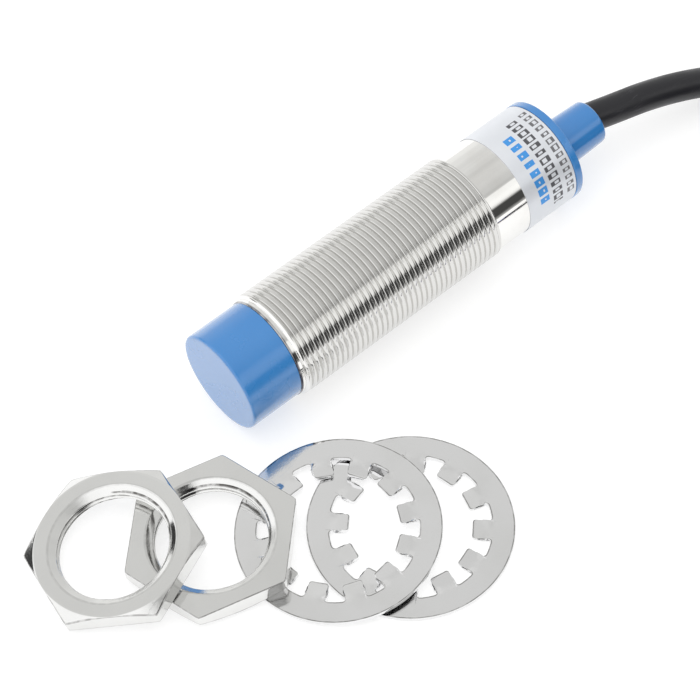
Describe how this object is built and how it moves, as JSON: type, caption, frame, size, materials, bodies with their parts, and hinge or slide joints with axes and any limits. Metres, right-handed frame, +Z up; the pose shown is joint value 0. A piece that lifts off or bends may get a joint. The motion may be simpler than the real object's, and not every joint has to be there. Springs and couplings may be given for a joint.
{
  "type": "inductive proximity sensor",
  "caption": "Cylindrical inductive proximity sensor: threaded metal barrel, blue plastic ends, moulded black cable, with its flat hexagon nuts and toothed washers lying loose beside it.",
  "frame": {"origin": "centre of the flat sensing face, on the barrel's axis", "axes": "+X along the barrel from the sensing face towards the cable, +Z up from the surface the barrel lies on, +Y to the barrel's side away from the loose nuts"},
  "size_m": [0.1972, 0.0898, 0.018],
  "materials": {
    "blue_cap": "smooth moulded plastic, satin gloss",
    "ferrite": "matt sintered ferrite",
    "bobbin_plastic": "natural moulded plastic",
    "winding_copper": "enamelled copper wire",
    "nickel_plate": "bright nickel plated brass",
    "label_film": "silver-white film label, satin",
    "light_lens": "tinted translucent epoxy lens",
    "tinned_metal": "tinned wire and solder",
    "board_laminate": "green solder mask over glass laminate",
    "resistor_black": "chip resistors, black glaze",
    "capacitor_tan": "chip capacitors, tan ceramic",
    "chip_plastic": "black moulding compound",
    "lead_brown": "brown PVC insulation",
    "lead_blue": "blue PVC insulation",
    "lead_black": "black PVC insulation",
    "potting": "dark epoxy casting resin",
    "cable_jacket": "black PVC jacket, satin",
    "tie_strap": "black plastic strap",
    "nut_plate": "nickel plated brass, satin bright",
    "washer_plate": "nickel plated spring steel"
  },
  "bodies": {
    "sensor": {"sensing_cap": "blue_cap", "ferrite_core": "ferrite", "coil_bobbin": "bobbin_plastic", "coil_winding": "winding_copper", "coil_leads": "winding_copper", "threaded_barrel": "nickel_plate", "label_sleeve": "label_film", "rear_cap": "blue_cap", "status_led": "light_lens", "led_leads": "tinned_metal", "circuit_board": "board_laminate", "chip_resistors": "resistor_black", "chip_capacitors": "capacitor_tan", "protection_diodes": "chip_plastic", "control_chip": "chip_plastic", "output_transistor": "chip_plastic", "control_chip_pins": "tinned_metal", "transistor_pins": "tinned_metal", "solder_joints": "tinned_metal", "brown_lead_inside": "lead_brown", "blue_lead_inside": "lead_blue", "black_lead_inside": "lead_black", "potting_resin": "potting", "cable_inner_end": "cable_jacket", "cable": "cable_jacket", "cable_coil": "cable_jacket", "cable_tail": "cable_jacket", "coil_ties": "tie_strap", "brown_lead_tail": "lead_brown", "blue_lead_tail": "lead_blue", "black_lead_tail": "lead_black", "tinned_tips": "tinned_metal"},
    "right_washer": {"right_washer": "washer_plate"},
    "left_washer": {"left_washer": "washer_plate"},
    "right_nut": {"right_nut": "nut_plate"},
    "left_nut": {"left_nut": "nut_plate"}
  },
  "joints": [
    {"name": "right_washer_lift", "type": "slide", "parent": "sensor", "child": "right_washer", "axis": [0, 0, 1], "range_m": [0, 0.03]},
    {"name": "left_washer_lift", "type": "slide", "parent": "right_washer", "child": "left_washer", "axis": [0, 0, 1], "range_m": [0, 0.03]},
    {"name": "right_nut_lift", "type": "slide", "parent": "left_washer", "child": "right_nut", "axis": [0, 0, 1], "range_m": [0, 0.03]},
    {"name": "left_nut_lift", "type": "slide", "parent": "right_nut", "child": "left_nut", "axis": [0, 0, 1], "range_m": [0, 0.03]}
  ]
}
